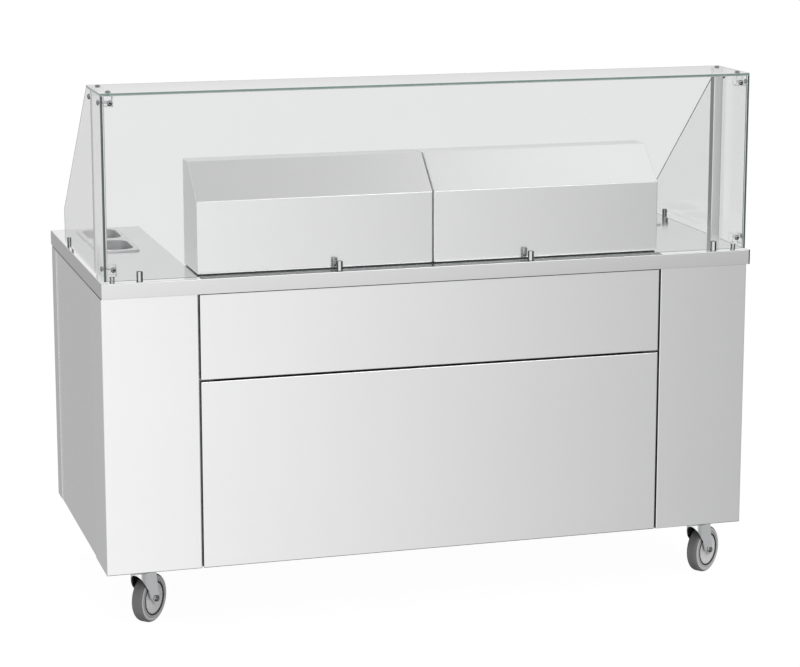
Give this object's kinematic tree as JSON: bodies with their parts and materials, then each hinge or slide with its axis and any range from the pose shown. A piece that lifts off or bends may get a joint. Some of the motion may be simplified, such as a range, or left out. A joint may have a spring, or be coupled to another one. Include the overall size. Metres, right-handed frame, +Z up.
{
  "type": "cooking station",
  "caption": "Mobile stainless front-cooking station: open bay for tabletop cookers, extraction hoods, glass guard, lift-out food containers and swivel castors.",
  "frame": {"origin": "on the floor, under the middle of the worktop", "axes": "+X along the counter, -Y towards the guests, +Y towards the cook, +Z up"},
  "size_m": [1.7, 0.82, 1.363],
  "materials": {
    "black_plastic": "fine spark texture",
    "charcoal": "activated charcoal mat",
    "chrome": "polished",
    "clear_glass": "clear float glass with green edges",
    "clear_plastic": "clear moulded plastic",
    "galvanised": "plain galvanised sheet",
    "grey_plastic": "moulded socket",
    "impeller": "glass-filled nylon",
    "motor": "black stove enamel",
    "pan_steel": "satin stainless pressing",
    "seal": "black sealing strip",
    "stainless": "fine satin stainless sheet",
    "switch_red": "moulded grip",
    "tyre": "grey non-marking rubber",
    "wheel_centre": "light grey moulding",
    "zinc": "bright zinc plating"
  },
  "bodies": {
    "station": {"base_plate": "galvanised", "bay_shelf": "stainless", "cable_gland": "black_plastic", "castor_plates": "zinc", "charcoal_filters": "charcoal", "control_panel": "stainless", "corner_clamps": "clear_plastic", "door_hinges": "zinc", "fan_brackets": "galvanised", "fan_motors": "motor", "front_glass": "clear_glass", "glass_clips": "chrome", "glass_posts": "stainless", "glass_screws": "chrome", "hood_gaskets": "seal", "left_front_panel": "stainless", "left_glass": "clear_glass", "left_hood": "stainless", "left_partition": "stainless", "left_rear_panel": "stainless", "lower_front_panel": "stainless", "plenum_wall": "galvanised", "right_front_panel": "stainless", "right_glass": "clear_glass", "right_hood": "stainless", "right_partition": "stainless", "right_rear_panel": "stainless", "side_panels": "stainless", "sockets": "grey_plastic", "top_glass": "clear_glass", "upper_front_panel": "stainless", "worktop": "stainless"},
    "left_door_leaf": {"left_door": "stainless", "left_door_handle": "chrome"},
    "left_filter": {"left_grease_filter": "stainless"},
    "left_fan": {"left_impeller": "impeller"},
    "left_front_container": {"left_front_pan": "pan_steel"},
    "left_rear_container": {"left_rear_pan": "pan_steel"},
    "right_door_leaf": {"right_door": "stainless", "right_door_handle": "chrome"},
    "right_filter": {"right_grease_filter": "stainless"},
    "right_fan": {"right_impeller": "impeller"},
    "right_front_container": {"right_front_pan": "pan_steel"},
    "right_rear_container": {"right_rear_pan": "pan_steel"},
    "fan_knob_dial": {"fan_knob": "black_plastic"},
    "main_switch_dial": {"main_switch": "switch_red"},
    "front_left_swivel": {"front_left_fork": "zinc"},
    "front_left_roller": {"front_left_wheel": "wheel_centre", "front_left_tyre": "tyre"},
    "front_right_swivel": {"front_right_fork": "zinc"},
    "front_right_roller": {"front_right_wheel": "wheel_centre", "front_right_tyre": "tyre"},
    "back_left_swivel": {"back_left_fork": "zinc"},
    "back_left_roller": {"back_left_wheel": "wheel_centre", "back_left_tyre": "tyre"},
    "back_left_brake": {"back_left_brake_pedal": "zinc"},
    "back_right_swivel": {"back_right_fork": "zinc"},
    "back_right_roller": {"back_right_wheel": "wheel_centre", "back_right_tyre": "tyre"},
    "back_right_brake": {"back_right_brake_pedal": "zinc"}
  },
  "joints": [
    {"name": "left_door_hinge", "type": "hinge", "parent": "station", "child": "left_door_leaf", "pos_m": [-0.59, 0.363, 0.343], "axis": [0, 0, 1], "range_deg": [0, 100]},
    {"name": "left_filter_pull", "type": "slide", "parent": "station", "child": "left_filter", "axis": [0, 1, 0], "range_m": [0, 0.2]},
    {"name": "left_fan_spin", "type": "hinge", "parent": "station", "child": "left_fan", "pos_m": [-0.3, -0.113, 0.39], "axis": [0, 1, 0], "continuous": true},
    {"name": "left_front_pan_lift", "type": "slide", "parent": "station", "child": "left_front_container", "axis": [0, 0, 1], "range_m": [0, 0.13]},
    {"name": "left_rear_pan_lift", "type": "slide", "parent": "station", "child": "left_rear_container", "axis": [0, 0, 1], "range_m": [0, 0.13]},
    {"name": "right_door_hinge", "type": "hinge", "parent": "station", "child": "right_door_leaf", "pos_m": [0.59, 0.363, 0.343], "axis": [0, 0, -1], "range_deg": [0, 100]},
    {"name": "right_filter_pull", "type": "slide", "parent": "station", "child": "right_filter", "axis": [0, 1, 0], "range_m": [0, 0.2]},
    {"name": "right_fan_spin", "type": "hinge", "parent": "station", "child": "right_fan", "pos_m": [0.3, -0.113, 0.39], "axis": [0, 1, 0], "continuous": true},
    {"name": "right_front_pan_lift", "type": "slide", "parent": "station", "child": "right_front_container", "axis": [0, 0, 1], "range_m": [0, 0.13]},
    {"name": "right_rear_pan_lift", "type": "slide", "parent": "station", "child": "right_rear_container", "axis": [0, 0, 1], "range_m": [0, 0.13]},
    {"name": "fan_knob_turn", "type": "hinge", "parent": "station", "child": "fan_knob_dial", "pos_m": [0.49, 0.382, 0.565], "axis": [0, -1, 0], "range_deg": [0, 270]},
    {"name": "main_switch_turn", "type": "hinge", "parent": "station", "child": "main_switch_dial", "pos_m": [0.56, 0.382, 0.565], "axis": [0, -1, 0], "range_deg": [0, 90]},
    {"name": "front_left_swivel_turn", "type": "hinge", "parent": "station", "child": "front_left_swivel", "pos_m": [-0.755, -0.314, 0.146], "axis": [0, 0, 1], "continuous": true},
    {"name": "front_left_wheel_spin", "type": "hinge", "parent": "front_left_swivel", "child": "front_left_roller", "pos_m": [-0.72567, -0.28255, 0.0625], "axis": [-0.7314, 0.682, 0], "continuous": true},
    {"name": "front_right_swivel_turn", "type": "hinge", "parent": "station", "child": "front_right_swivel", "pos_m": [0.755, -0.314, 0.146], "axis": [0, 0, 1], "continuous": true},
    {"name": "front_right_wheel_spin", "type": "hinge", "parent": "front_right_swivel", "child": "front_right_roller", "pos_m": [0.78979, -0.28873, 0.0625], "axis": [-0.5878, 0.809, 0], "continuous": true},
    {"name": "back_left_swivel_turn", "type": "hinge", "parent": "station", "child": "back_left_swivel", "pos_m": [-0.755, 0.327, 0.146], "axis": [0, 0, 1], "continuous": true},
    {"name": "back_left_wheel_spin", "type": "hinge", "parent": "back_left_swivel", "child": "back_left_roller", "pos_m": [-0.71459, 0.34171, 0.0625], "axis": [-0.342, 0.9397, 0], "continuous": true},
    {"name": "back_left_brake_press", "type": "hinge", "parent": "back_left_swivel", "child": "back_left_brake", "pos_m": [-0.69486, 0.34889, 0.1315], "axis": [-0.342, 0.9397, 0], "range_deg": [0, 12]},
    {"name": "back_right_swivel_turn", "type": "hinge", "parent": "station", "child": "back_right_swivel", "pos_m": [0.755, 0.327, 0.146], "axis": [0, 0, 1], "continuous": true},
    {"name": "back_right_wheel_spin", "type": "hinge", "parent": "back_right_swivel", "child": "back_right_roller", "pos_m": [0.7141, 0.34029, 0.0625], "axis": [-0.309, -0.9511, 0], "continuous": true},
    {"name": "back_right_brake_press", "type": "hinge", "parent": "back_right_swivel", "child": "back_right_brake", "pos_m": [0.69413, 0.34678, 0.1315], "axis": [-0.309, -0.9511, 0], "range_deg": [0, 12]}
  ]
}
